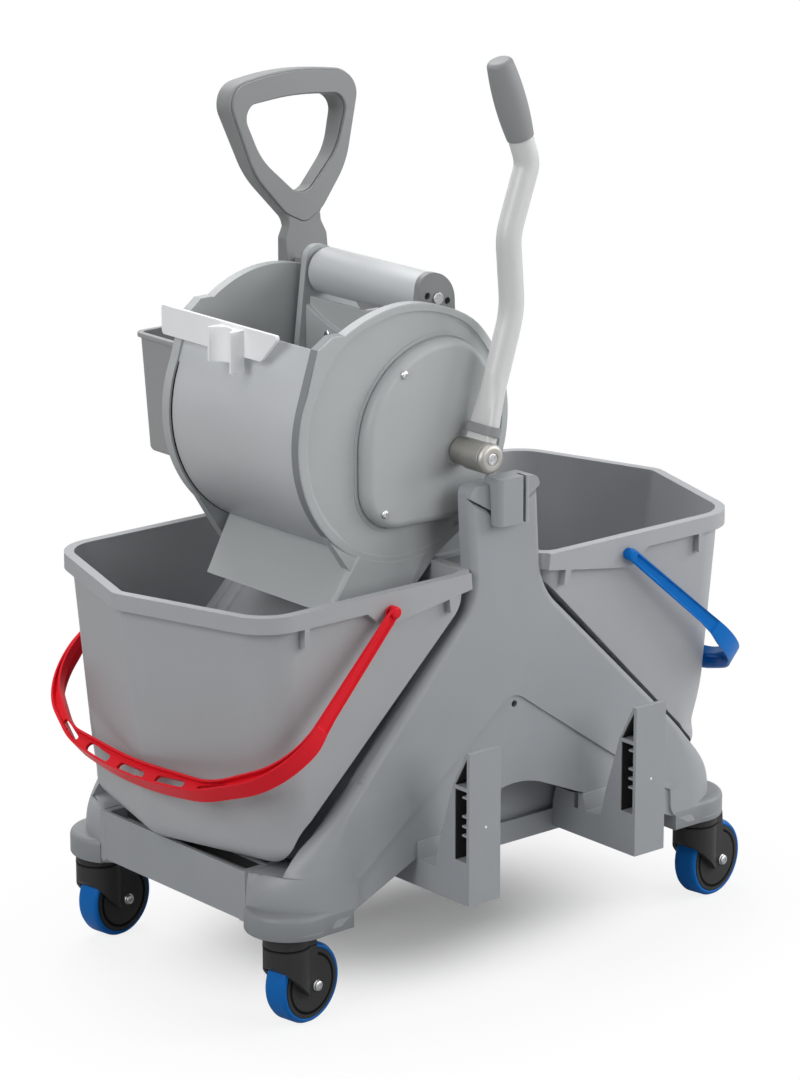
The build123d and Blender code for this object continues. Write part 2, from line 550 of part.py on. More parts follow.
os.makedirs("parts", exist_ok=True)
near_frame = side_frame()
plus_end, near_rail = end_frame(), side_rail()
plate = end_plate()
rinse_bucket, blue_bail = bucket(), bail()
lever_tube, lever_band, lever_grip = lever()
push_handle, handle_inlay = handle()
nodes = {
    "end_frame_plus": plus_end, "end_frame_minus": mirror(plus_end, about=Plane.YZ),
    "near_rail": near_rail, "far_rail": mirror(near_rail, about=Plane.XZ),
    "near_side_frame": near_frame, "far_side_frame": mirror(near_frame, about=Plane.XZ),
    "saddle": saddle(), "near_column_cap": column_cap(),
    "side_bracket_plus": bracket(), "side_bracket_minus": Pos(-bracket_step, 0, 0) * bracket(),
    "rinse_bucket": rinse_bucket, "blue_bail": blue_bail,
    "wringer_bucket": Rot(0, 0, 180) * rinse_bucket, "red_bail": Rot(0, 0, 180) * blue_bail,
    "push_handle": push_handle, "handle_inlay": handle_inlay, "tray": tray(),
    "wringer_drum": drum(), "near_end_plate": plate, "far_end_plate": mirror(plate, about=Plane.XZ),
    "near_cover": cover(-150), "far_cover": mirror(cover(-114), about=Plane.XZ),
    "chute": chute(), "pole_rest": pole_rest(), "cradle": cradle(),
    "near_bush": bush(-cover_out, -plate_in), "far_bush": bush(plate_in, 113),
    "lever_shaft": rod_y(shaft_x, shaft_z, shaft_r, -160, 112),
    "lever_hub": hub(), "hub_cap": hub_cap(), "lever_tube": lever_tube,
    "lever_band": lever_band, "lever_grip": lever_grip,
    "near_arm": arm(), "far_arm": mirror(arm(), about=Plane.XZ), "paddle": paddle(),
    "roller_axle": rod_y(roller_x, roller_z, roller_pin, -arm_out - 2, arm_out + 2), "roller": roller(),
}
for name in ("minus_near", "plus_near", "minus_far", "plus_far"):
    nodes.update(caster(name))
for name, shape in nodes.items():
    export_step(shape, f"parts/{name}.step")
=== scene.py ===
import bpy
import bmesh
import json
import math
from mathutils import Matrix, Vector


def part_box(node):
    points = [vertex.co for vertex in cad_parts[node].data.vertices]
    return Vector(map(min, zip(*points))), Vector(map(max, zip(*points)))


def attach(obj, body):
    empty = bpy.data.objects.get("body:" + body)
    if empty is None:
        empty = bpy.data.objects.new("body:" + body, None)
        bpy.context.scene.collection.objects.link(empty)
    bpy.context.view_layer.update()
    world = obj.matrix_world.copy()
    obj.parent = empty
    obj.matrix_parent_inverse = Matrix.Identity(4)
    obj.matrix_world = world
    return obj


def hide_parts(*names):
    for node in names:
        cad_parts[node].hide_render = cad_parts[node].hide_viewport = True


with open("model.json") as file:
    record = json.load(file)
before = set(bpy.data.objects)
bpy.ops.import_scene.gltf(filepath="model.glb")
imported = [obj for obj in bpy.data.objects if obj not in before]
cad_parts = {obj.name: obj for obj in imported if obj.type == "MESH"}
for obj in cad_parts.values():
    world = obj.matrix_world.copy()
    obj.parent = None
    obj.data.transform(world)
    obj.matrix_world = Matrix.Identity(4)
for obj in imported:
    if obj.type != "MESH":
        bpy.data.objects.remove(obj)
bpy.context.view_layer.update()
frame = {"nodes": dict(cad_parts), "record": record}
nodes = frame["nodes"]
mm = 0.001
print("frame loaded:", len(nodes), "nodes")


# colours, nodes and materials

def hexColour(code):
    parts = [int(code[i:i + 2], 16) / 255 for i in (1, 3, 5)]
    return tuple(p / 12.92 if p <= 0.04045 else ((p + 0.055) / 1.055) ** 2.4 for p in parts) + (1,)


def shade(colour, factor):
    return tuple(min(1, c * factor) for c in colour[:3]) + (1,)


def perMetre(sizeMm):  # texture scale of a pattern whose features are sizeMm wide
    return 1 / (sizeMm * mm)


def addNode(tree, kind, values=None, links=None, **settings):
    node = tree.nodes.new(kind)
    for name, value in settings.items():
        setattr(node, name, value)
    for name, value in (values or {}).items():
        node.inputs[name].default_value = value
    for name, socket in (links or {}).items():
        tree.links.new(socket, node.inputs[name])
    return node


def newMaterial(name):
    material = bpy.data.materials.new(name)
    material.use_nodes = True
    material.node_tree.nodes.clear()
    return material, material.node_tree


def mouldedPlastic(name, code, rough=0.42, grain=0.9, depth=0.10, clouds=0.04, gloss=0.35):
    # injection moulded polypropylene: satin skin, spark-eroded grain, faint flow clouds
    # the real grain is near 0.3 mm; it is drawn at about 1 mm so that it shows
    material, tree = newMaterial(name)
    colour = hexColour(code)
    place = addNode(tree, "ShaderNodeTexCoord").outputs["Object"]
    flow = addNode(tree, "ShaderNodeTexNoise", {"Scale": perMetre(85), "Detail": 3.0, "Distortion": 0.6},
                   {"Vector": place})
    skin = addNode(tree, "ShaderNodeTexNoise", {"Scale": perMetre(grain), "Detail": 2.0}, {"Vector": place})
    tint = addNode(tree, "ShaderNodeMix", {6: shade(colour, 1 - clouds), 7: shade(colour, 1 + clouds)},
                   {0: flow.outputs["Fac"]}, data_type="RGBA")
    sheen = addNode(tree, "ShaderNodeMapRange", {"From Min": 0.3, "From Max": 0.7, "To Min": rough - 0.05,
                                                 "To Max": rough + 0.05}, {"Value": flow.outputs["Fac"]})
    bump = addNode(tree, "ShaderNodeBump", {"Strength": depth, "Distance": 0.2 * mm},
                   {"Height": skin.outputs["Fac"]})
    shader = addNode(tree, "ShaderNodeBsdfPrincipled", {"IOR": 1.49, "Specular IOR Level": gloss},
                     {"Base Color": tint.outputs[2], "Roughness": sheen.outputs["Result"],
                      "Normal": bump.outputs["Normal"]})
    addNode(tree, "ShaderNodeOutputMaterial", None, {"Surface": shader.outputs["BSDF"]})
    return material


def powderCoat(name, code, rough=0.36):
    # powder coated steel tube: pale, even, with a soft orange-peel ripple of about 2 mm
    material, tree = newMaterial(name)
    place = addNode(tree, "ShaderNodeTexCoord").outputs["Object"]
    peel = addNode(tree, "ShaderNodeTexNoise", {"Scale": perMetre(2.2), "Detail": 1.0}, {"Vector": place})
    cloud = addNode(tree, "ShaderNodeTexNoise", {"Scale": perMetre(60), "Detail": 2.0}, {"Vector": place})
    colour = hexColour(code)
    tint = addNode(tree, "ShaderNodeMix", {6: shade(colour, 0.97), 7: shade(colour, 1.03)},
                   {0: cloud.outputs["Fac"]}, data_type="RGBA")
    bump = addNode(tree, "ShaderNodeBump", {"Strength": 0.10, "Distance": 0.3 * mm}, {"Height": peel.outputs["Fac"]})
    shader = addNode(tree, "ShaderNodeBsdfPrincipled", {"IOR": 1.5, "Roughness": rough},
                     {"Base Color": tint.outputs[2], "Normal": bump.outputs["Normal"]})
    addNode(tree, "ShaderNodeOutputMaterial", None, {"Surface": shader.outputs["BSDF"]})
    return material


def satinMetal(name, code, rough, stretch):
    # bare metal with fine drawn lines; stretch gives the line direction as a scale on each axis
    material, tree = newMaterial(name)
    place = addNode(tree, "ShaderNodeTexCoord").outputs["Object"]
    turned = addNode(tree, "ShaderNodeMapping", {"Scale": stretch}, {"Vector": place})
    lines = addNode(tree, "ShaderNodeTexNoise", {"Scale": perMetre(1.2), "Detail": 3.0},
                    {"Vector": turned.outputs["Vector"]})
    sheen = addNode(tree, "ShaderNodeMapRange", {"To Min": rough - 0.08, "To Max": rough + 0.10},
                    {"Value": lines.outputs["Fac"]})
    bump = addNode(tree, "ShaderNodeBump", {"Strength": 0.08, "Distance": 0.15 * mm},
                   {"Height": lines.outputs["Fac"]})
    shader = addNode(tree, "ShaderNodeBsdfPrincipled", {"Base Color": hexColour(code), "Metallic": 1.0},
                     {"Roughness": sheen.outputs["Result"], "Normal": bump.outputs["Normal"]})
    addNode(tree, "ShaderNodeOutputMaterial", None, {"Surface": shader.outputs["BSDF"]})
    return material


finish = {
    "chassis": mouldedPlastic("polypropylene moulded grey chassis", "#999da1", 0.40),
    "bucket": mouldedPlastic("polypropylene moulded grey bucket", "#a6a8ab", 0.44),
    "wringer": mouldedPlastic("polypropylene moulded grey wringer", "#b0b4b5", 0.42),
    "handle": mouldedPlastic("polypropylene moulded dark grey handle", "#868889", 0.46),
    "tray": mouldedPlastic("polypropylene moulded grey tray", "#9d9e9f", 0.46),
    "white": mouldedPlastic("polypropylene moulded white, also painted highlight", "#f1f3f4", 0.40, clouds=0.01),
    "red": mouldedPlastic("polypropylene moulded red bail", "#e01c2b", 0.36, depth=0.05, clouds=0.03, gloss=0.14),
    "blue": mouldedPlastic("polypropylene moulded blue bail", "#0669ba", 0.34, depth=0.02, clouds=0.03, gloss=0.12),
    "grip": mouldedPlastic("soft touch grey grip", "#8b8d8f", 0.55, grain=1.4, depth=0.2),
    "roller": mouldedPlastic("polypropylene turned grey roller", "#bfc2c4", 0.38, depth=0.05),
    # the casters' black nylon, also used as painted shade on the bucket pads and pocket linings
    "black": mouldedPlastic("nylon moulded black caster, also painted shade", "#343434", 0.48, grain=1.2, depth=0.15, gloss=0.2),
    "tread": mouldedPlastic("elastic blue tread", "#0d68b8", 0.40, grain=1.6, depth=0.12, gloss=0.14),
    "lever": powderCoat("powder coated pale grey steel", "#d0d2d1"),
    "arm": mouldedPlastic("glass filled nylon moulded dark arm", "#888a8b", 0.44),
    "drum": mouldedPlastic("polypropylene moulded pale grey drum", "#c1c4c6", 0.36),
    # the shoes' grey is darker than the chassis' as painted shade, for the shade low down under the buckets
    "shoe": mouldedPlastic("polypropylene moulded grey shoe with painted shade", "#888c8f", 0.44),
    # the near plate rim's grey is darker than the wringer's as painted shade
    "rim": mouldedPlastic("polypropylene moulded plate rim with painted shade", "#83878a", 0.46),
    # black strips of painted shadow, laid in gaps and grooves
    "gap": mouldedPlastic("painted groove shadow black", "#0c0c0c", 0.70, gloss=0.08),
    "hub": satinMetal("bead blasted stainless hub", "#a3a19d", 0.50, (1, 1, 1)),
    "steel": satinMetal("zinc plated steel", "#c9cacb", 0.28, (1, 0.2, 1)),
}
print("materials:", len(finish))


# softened copies of the solids

def asMesh(obj):
    graph = bpy.context.evaluated_depsgraph_get()
    mesh = bpy.data.meshes.new_from_object(obj.evaluated_get(graph))
    mesh.name = obj.name
    return mesh


def place(mesh, name, body, slot, material):
    mesh.materials.clear()
    mesh.materials.append(material)
    piece = bpy.data.objects.new(name, mesh)
    bpy.context.scene.collection.objects.link(piece)
    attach(piece, body)
    return piece


bodyOf = {node: body for body, members in frame["record"]["behaviour"]["bodies"].items() for node in members}
slotOf = {row["node"]: row["material_slot"] for row in frame["record"]["subparts"]}


softEdge = {"weld": 0.002, "flat": 0.3, "rows": 2, "angle": 32}  # mm, degrees, bevel rows, degrees


def soften(node, radius, material, shape=None, cutter=None):
    # a moulded edge is never sharp: the solid's copy gets its edges rounded by radius (mm);
    # shape changes the copy before that, cutter is taken off it
    work = bmesh.new()
    work.from_mesh(nodes[node].data)
    bmesh.ops.remove_doubles(work, verts=work.verts, dist=softEdge["weld"] * mm)
    bmesh.ops.dissolve_limit(work, angle_limit=math.radians(softEdge["flat"]), verts=work.verts, edges=work.edges)
    if shape:
        shape(work)
    for face in work.faces:
        face.smooth = True
    mesh = bpy.data.meshes.new(node + "Soft")
    work.to_mesh(mesh)
    work.free()
    copy = bpy.data.objects.new(node + "Work", mesh)
    bpy.context.scene.collection.objects.link(copy)
    if cutter:
        cut = copy.modifiers.new("cut", "BOOLEAN")
        cut.operation, cut.solver, cut.object = "DIFFERENCE", "EXACT", cutter
    edge = copy.modifiers.new("edge", "BEVEL")
    edge.width, edge.segments = radius * mm, softEdge["rows"]
    edge.limit_method, edge.angle_limit = "ANGLE", math.radians(softEdge["angle"])
    edge.use_clamp_overlap = True
    even = copy.modifiers.new("even", "WEIGHTED_NORMAL")
    even.keep_sharp = False
    soft = asMesh(copy)
    bpy.data.objects.remove(copy)
    piece = place(soft, node + "Soft", bodyOf[node], slotOf[node], material)
    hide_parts(node)
    return piece


def ramp(start, end, value):  # 0 at start, 1 at end, straight between
    return min(1, max(0, (value - start) / (end - start)))


def ease(start, end, value):  # 0 at start, 1 at end, soft between
    share = ramp(start, end, value)
    return share * share * (3 - 2 * share)


def smoothMesh(work, name, sharp):
    # mesh of a finished bmesh, smooth but for edges over sharp degrees
    bmesh.ops.recalc_face_normals(work, faces=work.faces)
    for face in work.faces:
        face.smooth = True
    mesh = bpy.data.meshes.new(name)
    work.to_mesh(mesh)
    work.free()
    mesh.set_sharp_from_angle(angle=math.radians(sharp))
    return mesh


def closedMesh(name, rings, sharp=38):
    # skin over closed rings of equal count (mm), with both ends capped
    work = bmesh.new()
    rows = [[work.verts.new(Vector(point) * mm) for point in ring] for ring in rings]
    for low, high in zip(rows, rows[1:]):
        for i in range(len(low)):
            j = (i + 1) % len(low)
            work.faces.new((low[i], low[j], high[j], high[i]))
    work.faces.new(rows[0][::-1])
    work.faces.new(rows[-1])
    bmesh.ops.remove_doubles(work, verts=work.verts, dist=softEdge["weld"] * mm)
    bmesh.ops.dissolve_degenerate(work, edges=work.edges, dist=softEdge["weld"] * mm)
    return smoothMesh(work, name, sharp)


# chassis: the solid's corner posts are cut off above the collars and one smooth leg takes their place

leg = {  # height: outer X, corner radius, where the front face starts in X (mm)
    100: (289.6, 60, 226), 112: (289.6, 60, 208), 117: (289.6, 60, 205), 122: (289.6, 60, 204),
    128: (289.4, 59.6, 204), 135: (288.2, 58.4, 204), 139.5: (286.6, 57, 204), 145: (283.6, 54.4, 192),
    150: (279.6, 51, 184), 151.4: (278.4, 50, 182), 157: (273.2, 46, 178), 165: (264.3, 38.6, 172),
    175: (252.3, 29.6, 166), 185: (240.6, 21.8, 160), 195: (229.9, 15.6, 154), 205: (219.5, 12, 148),
    215: (209.4, 10.5, 142), 228: (195.8, 10, 130), 242: (180.3, 10, 118)}
legForm = {  # mm, heights unless said
    "proud": 0.5, "lean in": (212, 242), "lean by": 2.2, "knee": 140, "sunk": (4, 1.4), "blend": (0.3, 26),
    "back": (107, 152), "until": 150.5, "beam": 290.1, "above": (-4, 0.5), "arc": 24, "run": 6}


def faceY(z):  # the side frames' outer face leans inwards with height
    return 181 - 0.0678 * (z - 118)


def legRing(z, sideX, sideY):
    outX, corner, startX = leg[z]
    low, below = z <= legForm["until"], z < legForm["knee"]
    front = faceY(z) + legForm["proud"] - legForm["lean by"] * ease(*legForm["lean in"], z)
    ring = [(startX, front - legForm["sunk"][0 if below else 1]), (startX + legForm["blend"][0 if below else 1], front)]
    back = legForm["back"][0 if low else 1]
    reach = math.acos(max(0, (back - front + corner) / corner))
    for i in range(legForm["arc"] + 1):  # round the corner
        angle = reach * i / legForm["arc"]
        ring.append((outX - corner + corner * math.sin(angle), front - corner + corner * math.cos(angle)))
    endX, endY = ring[-1]
    flare, short = (legForm["beam"] - outX, 0) if low else legForm["above"]
    for i in range(1, legForm["run"] + 1):  # on into the end beam
        share = i / legForm["run"]
        ring.append((endX + flare * ease(0, 1, share), endY + (back - short - endY) * share))
    ring.append((startX, back))
    return [(sideX * x, sideY * y, z) for x, y in ring]


shoe = {  # height: how far the outline lies inside its full size (mm); arc in degrees
    "levels": ((94.2, 1.6), (94.7, 0.6), (95.8, 0), (112.5, 0), (115.4, 0.9), (117.2, 2.6), (118.1, 5.2), (118.4, 8)),
    "foot": 210.5, "foot share": 0.4, "front": 182.2, "centre": (256.5, 140.4), "radius": 43.0, "arc": (20, 196),
    "arc steps": 40, "start": 138, "end": (258, 108)}


def shoeRing(z, inset, sideX, sideY):
    middleX, middleY = shoe["centre"]
    radius, foot, front = shoe["radius"] - inset, shoe["foot"] + shoe["foot share"] * inset, shoe["front"] - inset
    ring = [(foot, shoe["start"]), (foot, front)]
    start, sweep = shoe["arc"]
    for i in range(shoe["arc steps"] + 1):
        angle = math.radians(start + sweep * i / shoe["arc steps"])
        x, y = middleX - radius * math.cos(angle), middleY + radius * math.sin(angle)
        ring.append((x, max(y, front) if x < middleX else y))
    ring.append(shoe["end"])
    return [(sideX * x, sideY * y, z) for x, y in ring]


def cornerCut(name, size, centre):
    # one box at each of the four corners, to be cut off a copy (mm)
    work = bmesh.new()
    for sideX in (-1, 1):
        for sideY in (-1, 1):
            box = bmesh.ops.create_cube(work, size=1)["verts"]
            bmesh.ops.scale(work, vec=Vector(size) * mm, verts=box)
            bmesh.ops.translate(work, vec=Vector((sideX * centre[0], sideY * centre[1], centre[2])) * mm, verts=box)
    mesh = bpy.data.meshes.new(name)
    work.to_mesh(mesh)
    work.free()
    cutter = bpy.data.objects.new(name, mesh)
    bpy.context.scene.collection.objects.link(cutter)
    return cutter


postCut = cornerCut("postCut", (90, 80, 46), (255, 156.4, 141.6))
footCut = cornerCut("footCut", (80, 60, 70), (268, 172, 127))
sunkPanel = {"solid": 168.5, "depth": 2.4}  # the panel leans with the face, only a little behind it


def panelShape(work):
    for vert in work.verts:
        x, y, z = vert.co / mm
        lean = faceY(z) - sunkPanel["depth"]
        if abs(abs(y) - sunkPanel["solid"]) < 0.05 and lean > sunkPanel["solid"]:
            vert.co.y = math.copysign(lean * mm, y)


chassis = {  # edge radius, mm
    "near_rail": 1.2, "far_rail": 1.2, "saddle": 1.0, "near_column_cap": 0.35, "side_bracket_plus": 0.8,
    "side_bracket_minus": 0.8}
for node, radius in chassis.items():
    soften(node, radius, finish["chassis"])
for node in ("near_side_frame", "far_side_frame"):
    soften(node, 1.2, finish["chassis"], shape=panelShape, cutter=footCut)
for node in ("end_frame_plus", "end_frame_minus"):
    soften(node, 1.6, finish["chassis"], cutter=postCut)
bpy.data.objects.remove(postCut)
bpy.data.objects.remove(footCut)
for nameX, sideX in (("minus", -1), ("plus", 1)):
    for nameY, sideY in (("near", -1), ("far", 1)):
        mesh = closedMesh("leg", [legRing(z, sideX, sideY) for z in leg])
        place(mesh, f"{nameX}_{nameY}_leg", "base", "chassis_plastic", finish["chassis"])
        # the shoes take the darker grey: painted shade under the buckets
        mesh = closedMesh("shoe", [shoeRing(z, inset, sideX, sideY) for z, inset in shoe["levels"]])
        place(mesh, f"{nameX}_{nameY}_shoe", "base", "chassis_plastic", finish["shoe"])
shelf = {"from": 204, "to": 263, "half": 121, "low": 139, "high": 148.5}  # rest pad under each bucket, black as painted shade in the gap below it (mm)
for name, side in (("minus_shelf", -1), ("plus_shelf", 1)):
    rings = [[(side * shelf["from"], -shelf["half"], z), (side * shelf["to"], -shelf["half"], z),
              (side * shelf["to"], shelf["half"], z), (side * shelf["from"], shelf["half"], z)]
             for z in (shelf["low"], shelf["high"])]
    place(closedMesh(name, rings), name, "base", "", finish["black"])
insert = {  # black lining in the brackets' pockets: painted shade for their dark hollow (mm)
    "deep": 121.1, "edge": 88.4, "wall": 0.6, "y": (-247.9, -231.6), "z": (158.2, 228.8), "peak": (233.1, 261.2)}
for name, shift in (("plus_insert", 0), ("minus_insert", -214.7)):
    deep, edge, wall, (front, back) = insert["deep"] + shift, insert["edge"] + shift, insert["wall"], insert["y"]
    lining = [[(deep, front, z), (deep, back, z), (edge, back, z), (edge, back - wall, z),
               (deep - wall, back - wall, z), (deep - wall, front, z)] for z in insert["z"]]
    place(closedMesh(name, lining), name, "base", "", finish["black"])
    low, high = insert["peak"]
    lining = [[(x, front, high), (x, back, low), (x, back - wall, low), (x, front, high - 2 * wall)]
              for x in (edge, deep)]
    place(closedMesh(name, lining), name.replace("insert", "peak"), "base", "", finish["black"])
print("chassis and legs placed")


# buckets: the slope lies closer to the frame than the solid's and its side edges are rounder

bucketForm = {  # mm; shift of the slope at its foot and its top, and where each change fades
    "shift": {"rinse_bucket": (13.0, 12.0), "wringer_bucket": (3.0, 10.0)}, "rise": (190, 400), "slope": (520, 454),
    "foot": (290, 268), "start": (160, 190), "floor": 6.0, "floor fade": (215, 165), "edge": 8.0, "long": 60, "soft": 1.2}


def bucketShape(work):
    low, high = bucketForm["shift"]["rinse_bucket" if next(iter(work.verts)).co.x > 0 else "wringer_bucket"]
    for vert in work.verts:
        x, y, z = vert.co / mm
        side, x = math.copysign(1, x), abs(x)
        shift = low + (high - low) * ramp(*bucketForm["rise"], z)
        x -= shift * ease(*bucketForm["slope"], x + z) * ease(*bucketForm["foot"], x) * ease(*bucketForm["start"], z)
        z += bucketForm["floor"] * ease(*bucketForm["floor fade"], z)
        vert.co = Vector((side * x, y, z)) * mm
    work.normal_update()
    side = [edge for edge in work.edges if len(edge.link_faces) == 2
            and min(face.normal.z for face in edge.link_faces) < -0.5
            and max(face.normal.y * math.copysign(1, edge.verts[0].co.y) for face in edge.link_faces) > 0.9
            and edge.calc_length() > bucketForm["long"] * mm]
    bmesh.ops.bevel(work, geom=side, offset=bucketForm["edge"] * mm, offset_type="OFFSET", segments=5,
                    profile=0.5, affect="EDGES", clamp_overlap=True)
    print("bucket edges rounded:", len(side))


for node in ("rinse_bucket", "wringer_bucket"):
    soften(node, bucketForm["soft"], finish["bucket"], shape=bucketShape)


# bails: slim even arms that flare to the front band, with round ends, a groove and a knob at each pivot

bailForm = {  # mm and degrees; solid gives the solid arm's own reach up, down at both ends, and along
    "pivot": (152, 394), "drop": 42.0, "side": 168, "arm": 5.6, "flare": (158, 124), "lip": 1.9, "groove": 2.1,
    "soft": 0.5, "solid": {"up": 8.5, "down": (5, 11), "along": (-10, 119)}, "tall": 8, "area": 400,
    "knob": ((167.4, 5.9), (174.9, 5.9), (176.0, 5.5), (176.7, 4.6), (176.9, 3.2)), "knob sides": 32}


def bailShape(work):
    drop = math.radians(bailForm["drop"])

    def flat(point):  # a point in the bail's own plane: along the arms, across them
        dx, dz = abs(point.x) / mm - bailForm["pivot"][0], point.z / mm - bailForm["pivot"][1]
        return dx * math.cos(drop) - dz * math.sin(drop), dx * math.sin(drop) + dz * math.cos(drop)

    arms, rings = [], []
    for face in work.faces:
        spot, turn = face.calc_center_median(), face.normal
        across = turn.x * math.copysign(math.sin(drop), spot.x) + turn.z * math.cos(drop)
        tall = max(flat(v.co)[1] for v in face.verts) - min(flat(v.co)[1] for v in face.verts)
        if abs(across) > 0.9:
            rings.append(face)
        elif (turn.y * spot.y > 0 and abs(turn.y) > 0.97 and tall > bailForm["tall"]
              and face.calc_area() > bailForm["area"] * mm * mm):
            arms.append(face)
    bmesh.ops.triangulate(work, faces=rings)  # they bend with the arms
    solid, (atPivot, atBand) = bailForm["solid"], bailForm["solid"]["down"]
    for vert in work.verts:
        run, rise = flat(vert.co)
        if abs(vert.co.y) > bailForm["side"] * mm:
            full = solid["up"] if rise > 0 else atPivot + (atBand - atPivot) * ramp(*solid["along"], run)
            thin = max(-bailForm["arm"], min(bailForm["arm"], rise * bailForm["arm"] / full))
            up = (thin - rise) * ease(*bailForm["flare"], run)
            reach = math.hypot(run, rise + up)
            back = min(1, bailForm["arm"] / reach) if run < 0 else 1  # a round end
            along, up = run * (back - 1), (rise + up) * back - rise
            vert.co.x += math.copysign((up * math.sin(drop) + along * math.cos(drop)) * mm, vert.co.x)
            vert.co.z += (up * math.cos(drop) - along * math.sin(drop)) * mm
    bmesh.ops.inset_region(work, faces=arms, thickness=bailForm["lip"] * mm, depth=-bailForm["groove"] * mm,
                           use_even_offset=True, use_boundary=True)


for node, look in (("red_bail", "red"), ("blue_bail", "blue")):
    soften(node, bailForm["soft"], finish[look], shape=bailShape)
    pivotX, pivotZ = bailForm["pivot"][0] * (-1 if look == "red" else 1), bailForm["pivot"][1]
    turns = [2 * math.pi * k / bailForm["knob sides"] for k in range(bailForm["knob sides"])]
    for name, side in (("near", -1), ("far", 1)):
        rings = [[(pivotX + r * math.cos(turn), side * y, pivotZ + r * math.sin(turn)) for turn in turns]
                 for y, r in bailForm["knob"]]
        place(closedMesh("knob", rings), f"{look}_{name}_knob", node, look + "_plastic", finish[look])
print("buckets and bails placed")


# wringer, lever, handle, tray and casters

plateForm = {  # mm: the dish is shallower than the solid's, and the near plate's top is lower
    "face": 107.0, "floor": 100.4, "depth": 0.4, "top": (634, 674), "lower": 6}


def lowered(z):  # drop of the near plate at height z
    return plateForm["lower"] * ease(*plateForm["top"], z)


def plateShape(work):
    for vert in work.verts:
        y = abs(vert.co.y) / mm
        if y > plateForm["floor"]:
            y = plateForm["face"] + (y - plateForm["face"]) * plateForm["depth"]
            vert.co.y = math.copysign(y * mm, vert.co.y)
        if vert.co.y < 0:
            vert.co.z -= lowered(vert.co.z / mm) * mm


chuteForm = {"low": (383, 1.33), "high": (450, 1.11)}  # height, widening of the near half


def chuteShape(work):
    (low, wide), (high, narrow) = chuteForm["low"], chuteForm["high"]
    for vert in work.verts:
        share = (vert.co.z / mm - low) / (high - low)
        if vert.co.y < 0:
            vert.co.y *= wide + (narrow - wide) * share


wringer = {
    "wringer_drum": 0.8, "near_cover": 0.8, "far_cover": 0.8, "cradle": 0.8, "paddle": 0.8,
    "near_bush": 0.4, "far_bush": 0.4}
for node, radius in wringer.items():
    soften(node, radius, finish["drum" if node == "wringer_drum" else "wringer"])
soften("chute", 0.8, finish["wringer"], shape=chuteShape)
soften("near_arm", 1.2, finish["arm"])
soften("far_arm", 1.2, finish["wringer"])
for node in ("near_end_plate", "far_end_plate"):
    soften(node, 1.0, finish["wringer"], shape=plateShape)
plateSkirt = {  # outline in X and Z (mm): the end plates run on down behind the bucket's rim
    "line": ((-180, 459), (-155, 422), (-130, 386), (-121, 376), (-87, 376), (-58, 404), (-44, 418), (-14, 436),
             (-40, 452), (-83, 466), (-126, 470)),
    "inside": 96.0, "top": 103.8, "foot": 107.3, "fade": (468, 428)}
for name, side in (("near_plate_skirt", -1), ("far_plate_skirt", 1)):
    proud = plateSkirt["foot"] - plateSkirt["top"]
    front = [(x, side * (plateSkirt["top"] + proud * ease(*plateSkirt["fade"], z)), z) for x, z in plateSkirt["line"]]
    back = [(x, side * plateSkirt["inside"], z) for x, z in plateSkirt["line"]]
    place(closedMesh(name, [back, front]), name, "base", "wringer_plastic", finish["wringer"])
soften("pole_rest", 0.6, finish["white"])
soften("roller", 1.0, finish["roller"])
soften("lever_tube", 0.4, finish["lever"])
for node in ("lever_hub", "hub_cap"):
    soften(node, 0.8, finish["hub"])
for node in ("lever_shaft", "roller_axle"):
    soften(node, 0.5, finish["steel"])
for node in ("lever_band", "lever_grip"):
    soften(node, 0.6, finish["grip"])
soften("push_handle", 2.5, finish["handle"])
soften("handle_inlay", 0.8, finish["handle"])
soften("tray", 0.9, finish["tray"])
caster = {"fork": (1.0, "black"), "wheel": (0.4, "black"), "tread": (1.6, "tread"), "axle": (0.4, "steel"),
          "stem": (0.3, "steel")}
corners = {"minus_near": (-1, -1), "plus_near": (1, -1), "minus_far": (-1, 1), "plus_far": (1, 1)}
for corner in corners:
    for part, (radius, look) in caster.items():
        soften(f"{corner}_{part}", radius, finish[look])
print("softened solids placed")


# turned rings: painted shadow in the far plate's gap, painted shade on the near plate's edge, painted shadow in the
# grooves on the wheels and round the swivels

def band(inner, outer, low, high):  # square profile of a ring
    return (inner, low), (outer, low), (outer, high), (inner, high)


def turned(name, profile, centre, axis, start=0, sweep=360, steps=72):
    # closed profile of (radius, height) points turned about an axis through centre (mm, degrees)
    axis = Vector(axis).normalized()
    first = Vector((1, 0, 0)) if abs(axis.x) < 0.9 else Vector((0, 0, 1))
    first = (first - axis * first.dot(axis)).normalized()
    second = Vector((0, 0, 1)) if abs(axis.z) < 0.5 else axis.cross(first)
    second = (second - axis * second.dot(axis) - first * second.dot(first)).normalized()
    work = bmesh.new()
    rows = []
    for i in range(steps if sweep == 360 else steps + 1):
        angle = math.radians(start + sweep * i / steps)
        away = first * math.cos(angle) + second * math.sin(angle)
        rows.append([work.verts.new((Vector(centre) + away * r + axis * h) * mm) for r, h in profile])
    pairs = list(zip(rows, rows[1:])) + ([(rows[-1], rows[0])] if sweep == 360 else [])
    for one, two in pairs:
        for i in range(len(profile)):
            j = (i + 1) % len(profile)
            work.faces.new((one[i], one[j], two[j], two[i]))
    if sweep < 360:
        work.faces.new(rows[0])
        work.faces.new(rows[-1][::-1])
    return smoothMesh(work, name, 38)


# a black ring of painted shadow in the gap between the drum and the far plate
seam = {"centre": (-83, 0, 545), "radius": (126.2, 127.5), "y": (93.6, 95.2), "start": 150, "sweep": 168}
mesh = turned("far_seam", band(*seam["radius"], *seam["y"]), seam["centre"], (0, 1, 0), seam["start"], seam["sweep"])
place(mesh, "far_seam", "base", "", finish["gap"])

